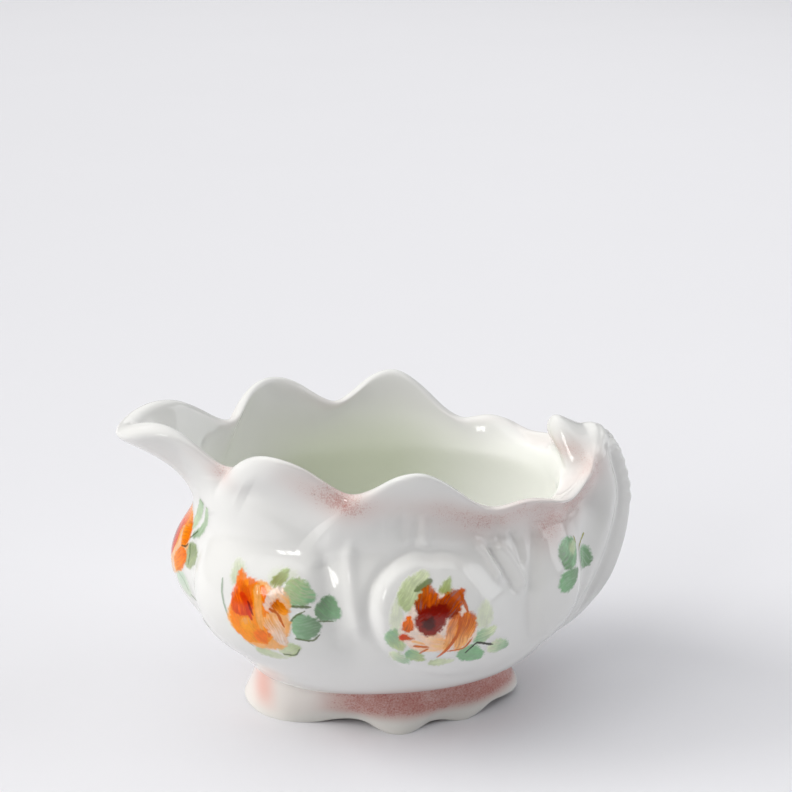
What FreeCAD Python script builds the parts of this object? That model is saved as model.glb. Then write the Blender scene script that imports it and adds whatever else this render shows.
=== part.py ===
# Porcelain cream jug: oval slip-cast bowl with a waved rim, a luted pouring lip,
# a closed scroll handle, a scalloped foot skirt and fired enamel sprays.
# Millimetres. +Z up, lip toward -X, handle toward +X. The jug stands on z = 0.
import FreeCAD
import Part
import math
import os

V = FreeCAD.Vector

# ---- driving dimensions ----
COLUMNS = 120            # surface poles round the jug
WALL = 3.0               # cast wall
WAIST_Z = 12.5           # bowl meets foot skirt
NECK_Z = 61.0            # narrow level under the rim
FLOOR_Z = 17.5           # inside floor
CENTRE_X = -4.0          # middle of the oval plan
PUFF_RISE = 3.0          # how far each cushion stands out
PUFF_Z = 44.0            # height of the cushions' middle
COLLAR_HALF = 27.0       # half width of the collar behind the back rim
BACK_SKEW = 2.6          # the back rim runs slightly askew
LIP_CUT_X = -46.0        # lip is luted on ahead of this
LIP_CUT_Z = 65.0         # and above this
HANDLE_CUT_X = 54.2      # handle lies behind this
HANDLE_CUT_Z = 70.0      # or above this, over the back rim
SKIRT_WALL = 3.0
ENAMEL = 0.2             # fired paint thickness
ENAMEL_GAP = 0.08        # keeps the paint solids clear of the glaze
FRAME_SHIFT = 5.087      # brings the middle of the whole length to x = 0

# bowl levels: z, front x, back x, half width
LEVELS = (
    (12.5, -40.0, 32.0, 22.5),
    (13.6, -41.8, 35.0, 26.0),
    (17.0, -43.4, 39.5, 31.0),
    (22.5, -47.6, 44.0, 36.0),
    (29.0, -53.4, 48.0, 40.0),
    (36.0, -57.8, 50.6, 42.6),
    (43.0, -60.0, 51.8, 43.4),
    (49.5, -59.8, 51.4, 42.2),
    (55.5, -57.5, 50.0, 39.6),
    (61.0, -54.5, 48.3, 36.2),
)
# rim crown from the back round to the lip's tip: column angle, x, half y, z
RIM = (
    (0, 48.0, 0.0, 67.5),
    (8, 47.6, 7.5, 67.6),
    (16, 46.6, 14.5, 68.0),
    (24, 44.0, 21.0, 68.6),
    (32, 40.3, 26.8, 69.4),
    (40, 36.0, 29.6, 71.0),
    (47, 31.0, 31.2, 71.9),
    (54, 26.6, 32.2, 71.2),
    (61, 22.0, 32.8, 70.6),
    (68, 16.6, 34.6, 73.6),
    (75, 11.0, 37.8, 79.0),
    (82, 5.8, 39.6, 82.8),
    (89, 1.2, 40.0, 83.9),
    (96, -4.2, 38.8, 82.2),
    (103, -9.6, 36.4, 78.2),
    (110, -14.6, 34.4, 76.2),
    (117, -19.8, 33.2, 78.8),
    (124, -25.6, 32.8, 83.0),
    (131, -31.2, 32.0, 85.3),
    (138, -36.6, 28.8, 85.4),
    (145, -40.8, 23.6, 82.6),
    (151, -43.6, 18.6, 78.4),
    (157, -47.6, 16.6, 78.4),
    (163, -53.4, 14.4, 82.8),
    (169, -60.2, 11.8, 87.0),
    (174, -67.4, 9.2, 87.6),
    (177.5, -73.0, 5.6, 85.8),
    (180, -75.0, 0.0, 84.6),
)
# rim rows over the crown: row, rise from neck to crown, reach toward the crown
RISE = {10: 0.30, 11: 0.60, 12: 0.86, 15: 0.90, 16: 0.74, 17: 0.56, 18: 0.38, 19: 0.18}
REACH = {10: 0.10, 11: 0.36, 12: 0.74, 15: 0.82, 16: 0.58, 17: 0.36, 18: 0.18, 19: 0.07}
ROWS = 30
# collar that carries the handle behind the back rim: row, shift in x, shift in z
COLLAR = {
    11: (0.8, 1.5), 12: (2.6, 5.5), 13: (3.2, 6.0), 14: (4.0, 4.6), 15: (3.6, 3.6),
    16: (2.6, 3.6), 17: (0.8, 4.4), 18: (-0.6, 5.2), 19: (-0.6, 2.5),
}
# handle on the centre line: row, x, z, half width; up the back, over the thumb rest, down inside
SPINE = {
    3: (50.5, 21.5, 14.0), 4: (57.2, 28.5, 15.0), 5: (61.4, 36.5, 16.0), 6: (63.9, 44.5, 16.5),
    7: (65.1, 52.0, 17.0), 8: (65.3, 58.5, 17.5), 9: (64.5, 64.5, 18.0), 10: (62.6, 70.5, 18.5),
    11: (60.6, 75.6, 18.0), 12: (57.0, 79.6, 17.0), 13: (50.4, 80.2, 15.5), 14: (43.4, 85.2, 11.5),
    15: (41.2, 80.0, 13.0), 16: (43.4, 75.6, 15.0), 17: (45.6, 72.0, 16.0), 18: (44.4, 69.6, 15.0),
    19: (44.0, 65.0, 14.0),
}
# foot skirt's lower edge from the back round to the front: angle, x, half y, z
SKIRT = (
    (0, 35.5, 0.0, 1.4),
    (10, 34.4, 5.0, 1.6),
    (22, 31.0, 9.6, 2.4),
    (34, 26.4, 13.4, 2.8),
    (44, 22.0, 16.2, 0.8),
    (52, 17.6, 18.2, -0.3),
    (60, 12.6, 18.9, 0.9),
    (68, 8.0, 20.2, 1.3),
    (76, 3.4, 23.0, 0.1),
    (84, -1.2, 24.3, -0.4),
    (92, -6.0, 22.4, 0.3),
    (100, -11.2, 19.2, 2.0),
    (110, -17.4, 17.2, 1.7),
    (122, -25.0, 16.0, 0.3),
    (135, -32.4, 14.4, -0.4),
    (150, -38.6, 10.6, -0.2),
    (165, -42.4, 5.8, 0.5),
    (180, -43.9, 0.0, 0.9),
)
# enamel patches: name, plan angle from the handle, height, half width, half height
SPRAYS = (
    ("rose_spray_lip_side", 180.0, 49.0, 11.5, 14.0),
    ("rose_spray_front_near", -131.0, 45.5, 16.0, 13.5),
    ("rose_spray_side_near", -75.0, 44.0, 17.0, 13.0),
    ("leaf_sprig_near", -22.5, 50.5, 5.5, 7.5),
    ("rose_spray_front_far", 131.0, 45.5, 16.0, 13.5),
    ("rose_spray_side_far", 75.0, 44.0, 17.0, 13.0),
    ("leaf_sprig_far", 22.5, 50.5, 5.5, 7.5),
)


def bell(s):
    # soft bump, 1 in the middle and 0 from s = 1 outward
    s = abs(s)
    if s >= 1:
        return 0.0
    return (1 - s * s) ** 2


def ridge(s):
    # bump with a broad rounded top
    s = abs(s)
    if s >= 1:
        return 0.0
    return (1 - s ** 2.7) ** 2


def along(table, t):
    # smooth curve through the table's rows, mirrored about the jug's centre plane
    n = len(table)
    j = 0
    while j < n - 2 and t > table[j + 1][0]:
        j += 1
    t0 = table[j][0]
    t1 = table[j + 1][0]
    tm = table[j - 1][0] if j > 0 else 2 * t0 - t1
    tp = table[j + 2][0] if j < n - 2 else 2 * t1 - t0
    u = (t - t0) / (t1 - t0)
    h = u * u
    k = h * u
    out = []
    for c in (1, 2, 3):
        odd = -1 if c == 2 else 1
        p1 = table[j][c]
        p2 = table[j + 1][c]
        p0 = table[j - 1][c] if j > 0 else odd * table[1][c]
        p3 = table[j + 2][c] if j < n - 2 else odd * table[n - 2][c]
        m1 = (p2 - p0) / (t1 - tm) * (t1 - t0)
        m2 = (p3 - p1) / (tp - t0) * (t1 - t0)
        value = (2 * k - 3 * h + 1) * p1 + (k - 2 * h + u) * m1
        value += (3 * h - 2 * k) * p2 + (k - h) * m2
        out.append(value)
    return out


def puffs(tau, z):
    # eight cushions round the bowl, parted by shallow grooves
    lift = -0.5
    for centre, half in ((0, 24), (43, 19), (80, 20), (125, 28), (180, 26)):
        lift += PUFF_RISE * bell((tau - centre) / half) * bell((z - PUFF_Z) / 24.0)
    return lift


def oval(level, tau, inset, puffed):
    z, front, back, half = level
    t = math.radians(tau)
    t = t - 0.16 * math.sin(2 * t)
    c = math.cos(t)
    s = math.sin(t)
    power = 2 / 2.2
    c = math.copysign(abs(c) ** power, c)
    s = abs(s) ** power
    grow = -inset
    if puffed:
        grow += puffs(tau, z)
    a = back - CENTRE_X + grow
    if c < 0:
        a = CENTRE_X - front + grow
    b = half + grow
    return CENTRE_X + a * c, b * s, z


def toward_inside(tau):
    # unit plan vector from the rim crown toward the inside of the bowl or trough
    a = along(RIM, max(0.0, tau - 1.0))
    b = along(RIM, min(180.0, tau + 1.0))
    if tau < 1.0:
        a = [b[0], -b[1], b[2]]
    if tau > 179.0:
        b = [a[0], -a[1], a[2]]
    dx = b[0] - a[0]
    dy = b[1] - a[1]
    size = math.hypot(dx, dy)
    return -dy / size, dx / size


def rim_row(row, tau):
    x, y, z = along(RIM, tau)
    nx, ny = toward_inside(tau)
    roll = max(0.0, (tau - 160.0) / 20.0)
    roll = roll * roll * (3 - 2 * roll)
    half = WALL * 0.45 + 2.2 * roll
    if row == 13:
        return x - nx * half, y - ny * half, z + 0.7 - 3.0 * roll
    if row == 14:
        return x + nx * half, y + ny * half, z + 0.7 + 1.2 * roll
    side = -1 if row < 13 else 1
    inset = 0.0 if row < 13 else WALL
    x0, y0, z0 = oval(LEVELS[9], tau, inset, False)
    ex = x + side * nx * (half + 0.4)
    ey = y + side * ny * (half + 0.4)
    px = x0 + (ex - x0) * REACH[row]
    py = y0 + (ey - y0) * REACH[row]
    pz = z0 + (z - z0) * RISE[row]
    if row < 13:
        return px, py, pz - 2.4 * roll * REACH[row]
    return px, py, pz + 0.4


def wall_row(row, tau):
    # one pole of the bowl without its handle, far side
    if row <= 9:
        return oval(LEVELS[row], tau, 0.0, 0 < row)
    if row <= 19:
        return rim_row(row, tau)
    if row <= 27:
        x, y, z = oval(LEVELS[29 - row], tau, WALL, False)
        lift = {26: 0.8, 27: 3.0}.get(row, 0.0)
        return x, y, z + lift
    x, y, z = oval(LEVELS[29 - row], tau, 6.0, False)
    return x, y, FLOOR_Z + (0.4 if row == 28 else 0.0)


def with_handle(row, x, y, z):
    # raises the collar and the handle out of the bowl's back
    lean = ridge(y / COLLAR_HALF)
    dx, dz = COLLAR.get(row, (0.0, 0.0))
    if row in SPINE:
        bx, by, bz = wall_row(row, 0.0)
        sx, sz, wide = SPINE[row]
        swell = ridge(y / wide)
        x += (sx - bx - dx) * swell
        z += (sz - bz - dz) * swell
    x += dx * lean
    z += dz * lean
    if row in SPINE and row >= 10:
        y = y * (1 - 0.12 * bell(y / (SPINE[row][2] * 1.4)))
    return x, y, z


def pole(column, row):
    tau = column * 360.0 / COLUMNS
    side = -1.0
    if tau > 180:
        tau = 360 - tau
        side = 1.0
    x, y, z = wall_row(row, tau)
    if tau < 90:
        x, y, z = with_handle(row, x, y, z)
    if 10 <= row <= 19 and tau < 60:
        share = REACH.get(row, 1.0)
        x -= BACK_SKEW * side * y / 25.0 * bell(tau / 60.0) * share
    return V(x, side * y, z)


def closed_band(grid):
    # cubic surface closed round the jug and open from its first row to its last
    columns = len(grid)
    rows = len(grid[0])
    inner = rows - 3
    v_knots = [float(k) for k in range(inner + 1)]
    v_mults = [4] + [1] * (inner - 1) + [4]
    u_knots = [float(k) for k in range(columns + 1)]
    u_mults = [1] * (columns + 1)
    band = Part.BSplineSurface()
    band.buildFromPolesMultsKnots(grid, u_mults, v_mults, u_knots, v_knots, True, False, 3, 3)
    return band


def end_wire(band, last):
    u0, u1, v0, v1 = band.bounds()
    curve = band.vIso(v1 if last else v0)
    return Part.Wire([curve.toShape()])


def jug_form():
    grid = [[pole(c, r) for r in range(ROWS)] for c in range(COLUMNS)]
    band = closed_band(grid)
    skin = band.toShape()
    base = Part.Face(end_wire(band, False))
    floor = Part.Face(end_wire(band, True))
    shell = Part.Shell(Part.makeShell([skin, base, floor]).Faces)
    shell.sewShape()
    solid = Part.Solid(shell)
    if solid.Volume < 0:
        solid.reverse()
    return band, solid


def skirt_pole(column, row):
    tau = column * 360.0 / COLUMNS
    side = -1.0
    if tau > 180:
        tau = 360 - tau
        side = 1.0
    x, y, z = along(SKIRT, tau)
    top = oval(LEVELS[0], tau, 0.0, False)
    inner = oval(LEVELS[0], tau, SKIRT_WALL + 1.2, False)
    cx = CENTRE_X + (x - CENTRE_X) * (1 - SKIRT_WALL / max(20.0, math.hypot(x - CENTRE_X, y)))
    cy = y * (1 - SKIRT_WALL / max(20.0, math.hypot(x - CENTRE_X, y)))
    if row == 0:
        p = top
    elif row <= 4:
        f = (0.16, 0.42, 0.70, 0.92)[row - 1]
        g = (0.02, 0.24, 0.62, 1.02)[row - 1]
        p = (top[0] + (x - top[0]) * g, top[1] + (y - top[1]) * g, WAIST_Z + (z - WAIST_Z) * f)
    elif row == 5:
        p = (x * 0.985, y * 0.985, z - 0.5)
    elif row == 6:
        p = (cx, cy, z - 0.5)
    elif row <= 9:
        f = (0.88, 0.5, 0.16)[row - 7]
        p = (inner[0] + (cx - inner[0]) * f, inner[1] + (cy - inner[1]) * f,
             WAIST_Z + (z - WAIST_Z) * f)
    else:
        p = (inner[0], inner[1], WAIST_Z)
    return V(p[0], side * p[1], p[2])


def skirt():
    grid = [[skirt_pole(c, r) for r in range(11)] for c in range(COLUMNS)]
    band = closed_band(grid)
    outer = end_wire(band, False)
    inner = end_wire(band, True)
    seat = Part.Face(Part.Plane(V(0, 0, WAIST_Z), V(0, 0, 1)), outer)
    hole = Part.Face(Part.Plane(V(0, 0, WAIST_Z), V(0, 0, 1)), inner)
    seat = seat.cut(hole)
    shell = Part.makeShell([band.toShape()] + seat.Faces)
    shell.sewShape()
    solid = Part.Solid(shell)
    if solid.Volume < 0:
        solid.reverse()
    ground = Part.makeBox(140, 100, 10, V(-70, -50, -10))
    return solid.cut(ground)


def split_form(form):
    # the lip, the handle and the bowl meet on flat luted joints
    lip_box = Part.makeBox(60, 80, 60, V(LIP_CUT_X - 60, -40, LIP_CUT_Z))
    behind = Part.makeBox(40, 60, 110, V(HANDLE_CUT_X, -30, 0))
    above = Part.makeBox(40, 60, 40, V(37.0, -30, HANDLE_CUT_Z))
    handle_box = behind.fuse(above)
    lip = form.common(lip_box)
    rest = form.cut(lip_box)
    handle = rest.common(handle_box)
    bowl = rest.cut(handle_box)
    return bowl, lip, handle


def main_piece(shape):
    return sorted(shape.Solids, key=lambda s: s.Volume)[-1]


def nearest_u(band, v, angle):
    # surface parameter whose plan direction from the oval's middle is the angle
    best = (9e9, 0.0)
    u0, u1, v0, v1 = band.bounds()
    steps = 720
    for i in range(steps):
        u = u0 + (u1 - u0) * i / steps
        p = band.value(u, v)
        a = math.degrees(math.atan2(p.y, p.x - CENTRE_X))
        off = abs((a - angle + 180) % 360 - 180)
        best = min(best, (off, u))
    return best[1]


def nearest_v(band, u, z):
    # outer wall parameter at a height, below the rim
    lo = 0.5
    hi = 9.0
    for _ in range(40):
        mid = (lo + hi) / 2
        if band.value(u, mid).z < z:
            lo = mid
        else:
            hi = mid
    return (lo + hi) / 2


def outward(band, u, v):
    n = band.normal(u, v)
    p = band.value(u, v)
    if n.x * (p.x - CENTRE_X) + n.y * p.y < 0:
        n = n * -1
    return n


def enamel_patch(band, angle, height, half_w, half_h):
    # rounded plate that lies on the glaze, evenly thick
    u = nearest_u(band, 5.0, angle)
    v = nearest_v(band, u, height)
    du = (band.value(u + 0.1, v) - band.value(u - 0.1, v)).Length / 0.2
    dv = (band.value(u, v + 0.1) - band.value(u, v - 0.1)).Length / 0.2
    count = 9
    under = []
    upper = []
    for i in range(count):
        a = -1 + 2.0 * i / (count - 1)
        lower_row = []
        upper_row = []
        for k in range(count):
            b = -1 + 2.0 * k / (count - 1)
            x = a * math.sqrt(1 - 0.42 * b * b)
            y = b * math.sqrt(1 - 0.42 * a * a)
            pu = u + x * half_w / du
            pv = v + y * half_h / dv
            p = band.value(pu, pv)
            n = outward(band, pu, pv)
            lower_row.append(p + n * ENAMEL_GAP)
            upper_row.append(p + n * (ENAMEL_GAP + ENAMEL))
        under.append(lower_row)
        upper.append(upper_row)
    low = Part.BSplineSurface()
    low.interpolate(under)
    top = Part.BSplineSurface()
    top.interpolate(upper)
    faces = [low.toShape(), top.toShape()]
    u0, u1, v0, v1 = low.bounds()
    t0, t1, w0, w1 = top.bounds()
    pairs = (
        (low.uIso(u0), top.uIso(t0)),
        (low.uIso(u1), top.uIso(t1)),
        (low.vIso(v0), top.vIso(w0)),
        (low.vIso(v1), top.vIso(w1)),
    )
    for one, two in pairs:
        faces.append(Part.makeRuledSurface(one.toShape(), two.toShape()))
    shell = Part.makeShell(faces)
    shell.sewShape()
    solid = Part.Solid(shell)
    if solid.Volume < 0:
        solid.reverse()
    return solid


def build():
    band, form = jug_form()
    bowl, lip, handle = split_form(form)
    nodes = {
        "bowl": main_piece(bowl),
        "pouring_lip": main_piece(lip),
        "handle": main_piece(handle),
        "foot_skirt": main_piece(skirt()),
    }
    for name, angle, height, half_w, half_h in SPRAYS:
        nodes[name] = enamel_patch(band, angle, height, half_w, half_h)
    for shape in nodes.values():
        shape.translate(V(FRAME_SHIFT, 0, 0))
    return nodes


def save(nodes):
    os.makedirs("parts", exist_ok=True)
    for name, shape in nodes.items():
        box = shape.BoundBox
        print(name, shape.isValid(), round(shape.Volume, 1), len(shape.Faces),
              round(box.XMin, 1), round(box.XMax, 1), round(box.ZMin, 2), round(box.ZMax, 1))
        shape.exportStep("parts/" + name + ".step")


save(build())
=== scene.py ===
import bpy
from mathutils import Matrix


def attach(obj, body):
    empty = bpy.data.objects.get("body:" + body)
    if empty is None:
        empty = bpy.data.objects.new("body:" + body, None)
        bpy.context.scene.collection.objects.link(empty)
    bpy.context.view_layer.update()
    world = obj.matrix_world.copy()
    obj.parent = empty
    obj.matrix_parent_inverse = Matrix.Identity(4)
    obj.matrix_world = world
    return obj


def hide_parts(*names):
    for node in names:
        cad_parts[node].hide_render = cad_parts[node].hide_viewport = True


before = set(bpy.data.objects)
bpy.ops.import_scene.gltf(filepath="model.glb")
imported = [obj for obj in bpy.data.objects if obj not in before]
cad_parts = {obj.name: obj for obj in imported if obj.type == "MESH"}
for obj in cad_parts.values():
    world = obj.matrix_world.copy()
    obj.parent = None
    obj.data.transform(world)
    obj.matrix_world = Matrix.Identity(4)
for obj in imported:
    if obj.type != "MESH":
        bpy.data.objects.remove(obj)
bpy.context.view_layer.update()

import math
import bpy
import numpy as np
from mathutils import Vector

MM = 0.001

# ---------------------------------------------------------------- form of the jug (mm)
COLUMNS = 120
ROWS = 30
WALL = 3.0
WAIST_Z = 12.5
FLOOR_Z = 17.5
CENTRE_X = -4.0
PUFF_RISE = 3.0
PUFF_Z = 44.0
COLLAR_HALF = 27.0
BACK_SKEW = 2.6
LIP_CUT_X = -46.0
LIP_CUT_Z = 65.0
HANDLE_CUT_X = 54.2
HANDLE_CUT_Z = 70.0
SKIRT_WALL = 3.0
FRAME_SHIFT = 5.087

LEVELS = np.array((
    (12.5, -40.0, 32.0, 22.5),
    (13.6, -41.8, 35.0, 26.0),
    (17.0, -43.4, 39.5, 31.0),
    (22.5, -47.6, 44.0, 36.0),
    (29.0, -53.4, 48.0, 40.0),
    (36.0, -57.8, 50.6, 42.6),
    (43.0, -60.0, 51.8, 43.4),
    (49.5, -59.8, 51.4, 42.2),
    (55.5, -57.5, 50.0, 39.6),
    (61.0, -54.5, 48.3, 36.2),
))
RIM = np.array((
    (0, 48.0, 0.0, 67.5), (8, 47.6, 7.5, 67.6), (16, 46.6, 14.5, 68.0), (24, 44.0, 21.0, 68.6),
    (32, 40.3, 26.8, 69.4), (40, 36.0, 29.6, 71.0), (47, 31.0, 31.2, 71.9), (54, 26.6, 32.2, 71.2),
    (61, 22.0, 32.8, 70.6), (68, 16.6, 34.6, 73.6), (75, 11.0, 37.8, 79.0), (82, 5.8, 39.6, 82.8),
    (89, 1.2, 40.0, 83.9), (96, -4.2, 38.8, 82.2), (103, -9.6, 36.4, 78.2), (110, -14.6, 34.4, 76.2),
    (117, -19.8, 33.2, 78.8), (124, -25.6, 32.8, 83.0), (131, -31.2, 32.0, 85.3), (138, -36.6, 28.8, 85.4),
    (145, -40.8, 23.6, 82.6), (151, -43.6, 18.6, 78.4), (157, -47.6, 16.6, 78.4), (163, -53.4, 14.4, 82.8),
    (169, -60.2, 11.8, 87.0), (174, -67.4, 9.2, 87.6), (177.5, -73.0, 5.6, 85.8), (180, -75.0, 0.0, 84.6),
))
RISE = {10: 0.30, 11: 0.60, 12: 0.86, 15: 0.90, 16: 0.74, 17: 0.56, 18: 0.38, 19: 0.18}
REACH = {10: 0.10, 11: 0.36, 12: 0.74, 15: 0.82, 16: 0.58, 17: 0.36, 18: 0.18, 19: 0.07}
COLLAR = {
    11: (0.8, 1.5), 12: (2.6, 5.5), 13: (3.2, 6.0), 14: (4.0, 4.6), 15: (3.6, 3.6),
    16: (2.6, 3.6), 17: (0.8, 4.4), 18: (-0.6, 5.2), 19: (-0.6, 2.5),
}
SPINE = {
    3: (50.5, 21.5, 14.0), 4: (57.2, 28.5, 15.0), 5: (61.4, 36.5, 16.0), 6: (63.9, 44.5, 16.5),
    7: (65.1, 52.0, 17.0), 8: (65.3, 58.5, 17.5), 9: (64.5, 64.5, 18.0), 10: (62.6, 70.5, 18.5),
    11: (60.6, 75.6, 18.0), 12: (57.0, 79.6, 17.0), 13: (50.4, 80.2, 15.5), 14: (43.4, 85.2, 11.5),
    15: (41.2, 80.0, 13.0), 16: (43.4, 75.6, 15.0), 17: (45.6, 72.0, 16.0), 18: (44.4, 69.6, 15.0),
    19: (44.0, 65.0, 14.0),
}
SKIRT = np.array((
    (0, 35.5, 0.0, 1.4), (10, 34.4, 5.0, 1.6), (22, 31.0, 9.6, 2.4), (34, 26.4, 13.4, 2.8),
    (44, 22.0, 16.2, 0.8), (52, 17.6, 18.2, -0.3), (60, 12.6, 18.9, 0.9), (68, 8.0, 20.2, 1.3),
    (76, 3.4, 23.0, 0.1), (84, -1.2, 24.3, -0.4), (92, -6.0, 22.4, 0.3), (100, -11.2, 19.2, 2.0),
    (110, -17.4, 17.2, 1.7), (122, -25.0, 16.0, 0.3), (135, -32.4, 14.4, -0.4), (150, -38.6, 10.6, -0.2),
    (165, -42.4, 5.8, 0.5), (180, -43.9, 0.0, 0.9),
))


def bell(s):
    # 1 at the middle, 0 from one half width outward, smooth at both
    s = np.clip(np.abs(s), 0, 1)
    return (1 - s * s) ** 2


def ridge(s):
    # as bell, with a broader top
    s = np.clip(np.abs(s), 0, 1)
    return (1 - s ** 2.7) ** 2


def step(a, b, x):
    # eases from 0 at a to 1 at b
    s = np.clip((x - a) / (b - a), 0, 1)
    return s * s * (3 - 2 * s)


def along(table, t):
    # smooth curve through a table's stations, alike on both sides of its two ends
    t = np.asarray(t, float)
    n = len(table)
    j = np.clip(np.searchsorted(table[:, 0], t, side="left") - 1, 0, n - 2)
    head = np.array([2 * table[0, 0] - table[1, 0], table[1, 1], -table[1, 2], table[1, 3]])
    tail = np.array([2 * table[-1, 0] - table[-2, 0], table[-2, 1], -table[-2, 2], table[-2, 3]])
    ext = np.vstack([head, table, tail])
    a, p, q, b = ext[j], ext[j + 1], ext[j + 2], ext[j + 3]
    span = (q[:, 0] - p[:, 0])[:, None]
    u = ((t - p[:, 0]) / span[:, 0])[:, None]
    m1 = (q[:, 1:] - a[:, 1:]) / (q[:, :1] - a[:, :1]) * span
    m2 = (b[:, 1:] - p[:, 1:]) / (b[:, :1] - p[:, :1]) * span
    h, k = u * u, u ** 3
    first = (2 * k - 3 * h + 1) * p[:, 1:] + (k - 2 * h + u) * m1
    return first + (3 * h - 2 * k) * q[:, 1:] + (k - h) * m2


def puffs(tau, z):
    # swelling of the five cushions from the handle round to the lip: plan angle, half width
    lift = np.full(tau.shape, -0.5)
    for centre, half in ((0, 24), (43, 19), (80, 20), (125, 28), (180, 26)):
        lift = lift + PUFF_RISE * bell((tau - centre) / half) * bell((z - PUFF_Z) / 24.0)
    return lift


def oval(level, tau, inset, puffed):
    # one level of the body as a plan oval, moved inward by inset
    z, front, back, half = LEVELS[level]
    t = np.radians(tau)
    t = t - 0.16 * np.sin(2 * t)
    c, s = np.cos(t), np.sin(t)
    power = 2 / 2.2
    c = np.sign(c) * np.abs(c) ** power
    s = np.abs(s) ** power
    grow = -inset + (puffs(tau, z) if puffed else 0.0)
    a = np.where(c < 0, CENTRE_X - front, back - CENTRE_X) + grow
    return np.stack([CENTRE_X + a * c, (half + grow) * s, np.full(tau.shape, z)], -1)


def toward_inside(tau):
    # plan direction square to the rim, into the bowl
    a = along(RIM, np.maximum(0, tau - 1))
    b = along(RIM, np.minimum(180, tau + 1))
    first, last = tau < 1, tau > 179
    a[first] = b[first] * [1, -1, 1]
    b[last] = a[last] * [1, -1, 1]
    d = b - a
    size = np.hypot(d[:, 0], d[:, 1])
    return -d[:, 1] / size, d[:, 0] / size


def rim_row(row, tau):
    # rows 10 to 19: up to the rim outside, over it at 13 and 14, and down inside
    p = along(RIM, tau)
    x, y, z = p.T
    nx, ny = toward_inside(tau)
    roll = np.clip((tau - 160) / 20, 0, 1)
    roll = roll * roll * (3 - 2 * roll)
    half = WALL * 0.45 + 2.2 * roll
    if row == 13:
        return np.stack([x - nx * half, y - ny * half, z + 0.7 - 3.0 * roll], -1)
    if row == 14:
        return np.stack([x + nx * half, y + ny * half, z + 0.7 + 1.2 * roll], -1)
    side = -1 if row < 13 else 1
    base = oval(9, tau, 0.0 if row < 13 else WALL, False)
    ex = x + side * nx * (half + 0.4)
    ey = y + side * ny * (half + 0.4)
    px = base[:, 0] + (ex - base[:, 0]) * REACH[row]
    py = base[:, 1] + (ey - base[:, 1]) * REACH[row]
    pz = base[:, 2] + (z - base[:, 2]) * RISE[row]
    pz = pz - 2.4 * roll * REACH[row] if row < 13 else pz + 0.4
    return np.stack([px, py, pz], -1)


def wall_row(row, tau):
    # rows 0 to 9 outside from the waist up, 10 to 19 the rim, 20 to 29 inside down to the floor
    if row <= 9:
        return oval(row, tau, 0.0, row > 0)
    if row <= 19:
        return rim_row(row, tau)
    if row <= 27:
        p = oval(29 - row, tau, WALL, False)
        p[:, 2] += {26: 0.8, 27: 3.0}.get(row, 0.0)
        return p
    p = oval(29 - row, tau, 6.0, False)
    p[:, 2] = FLOOR_Z + (0.4 if row == 28 else 0.0)
    return p


def plan_columns():
    # each column's plan angle from the handle, folded to 0 to 180, and the side that it is on
    col = np.arange(COLUMNS) * 360.0 / COLUMNS
    return np.where(col > 180, 360 - col, col), np.where(col > 180, 1.0, -1.0)


def jug_poles():
    tau, side = plan_columns()
    grid = np.zeros((COLUMNS, ROWS, 3))
    for row in range(ROWS):
        p = wall_row(row, tau)
        x, y, z = p[:, 0].copy(), p[:, 1].copy(), p[:, 2].copy()
        near_handle = tau < 90
        lean = np.where(near_handle, ridge(y / COLLAR_HALF), 0.0)
        dx, dz = COLLAR.get(row, (0.0, 0.0))
        if row in SPINE:
            base = wall_row(row, np.array([0.0]))[0]
            sx, sz, wide = SPINE[row]
            swell = np.where(near_handle, ridge(y / wide), 0.0)
            x += (sx - base[0] - dx) * swell
            z += (sz - base[2] - dz) * swell
        x += dx * lean
        z += dz * lean
        if row in SPINE and row >= 10:
            y = np.where(near_handle, y * (1 - 0.12 * bell(y / (SPINE[row][2] * 1.4))), y)
        if 10 <= row <= 19:
            skew = BACK_SKEW * side * y / 25.0 * bell(tau / 60.0) * REACH.get(row, 1.0)
            x -= np.where(tau < 60, skew, 0)
        grid[:, row] = np.stack([x, side * y, z], -1)
    return grid


def skirt_poles():
    tau, side = plan_columns()
    edge = along(SKIRT, tau)
    top = oval(0, tau, 0.0, False)
    inner = oval(0, tau, SKIRT_WALL + 1.2, False)
    shrink = 1 - SKIRT_WALL / np.maximum(20.0, np.hypot(edge[:, 0] - CENTRE_X, edge[:, 1]))
    ins = np.stack([CENTRE_X + (edge[:, 0] - CENTRE_X) * shrink, edge[:, 1] * shrink, edge[:, 2]], -1)
    rows = [top]
    for f, g in ((0.16, 0.02), (0.42, 0.24), (0.70, 0.62), (0.92, 1.02)):
        rows.append(np.stack([top[:, 0] + (edge[:, 0] - top[:, 0]) * g,
                              top[:, 1] + (edge[:, 1] - top[:, 1]) * g,
                              WAIST_Z + (edge[:, 2] - WAIST_Z) * f], -1))
    rows.append(np.stack([edge[:, 0] * 0.985, edge[:, 1] * 0.985, edge[:, 2] - 0.5], -1))
    rows.append(ins - [0, 0, 0.5])
    for f in (0.88, 0.5, 0.16):
        rows.append(np.stack([inner[:, 0] + (ins[:, 0] - inner[:, 0]) * f,
                              inner[:, 1] + (ins[:, 1] - inner[:, 1]) * f,
                              WAIST_Z + (edge[:, 2] - WAIST_Z) * f], -1))
    rows.append(np.stack([inner[:, 0], inner[:, 1], np.full(tau.shape, WAIST_Z)], -1))
    grid = np.stack(rows, 1)
    grid[:, :, 1] *= side[:, None]
    return grid


def around(u, columns):
    # weights of the periodic cubic basis at the places u, counted in columns
    w = np.zeros((len(u), columns))
    j = np.floor(u).astype(int)
    t = u - j
    for k, f in enumerate(((1 - t) ** 3 / 6, (3 * t ** 3 - 6 * t ** 2 + 4) / 6,
                           (-3 * t ** 3 + 3 * t ** 2 + 3 * t + 1) / 6, t ** 3 / 6)):
        w[np.arange(len(u)), (j - 1 + k) % columns] += f
    return w


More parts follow.
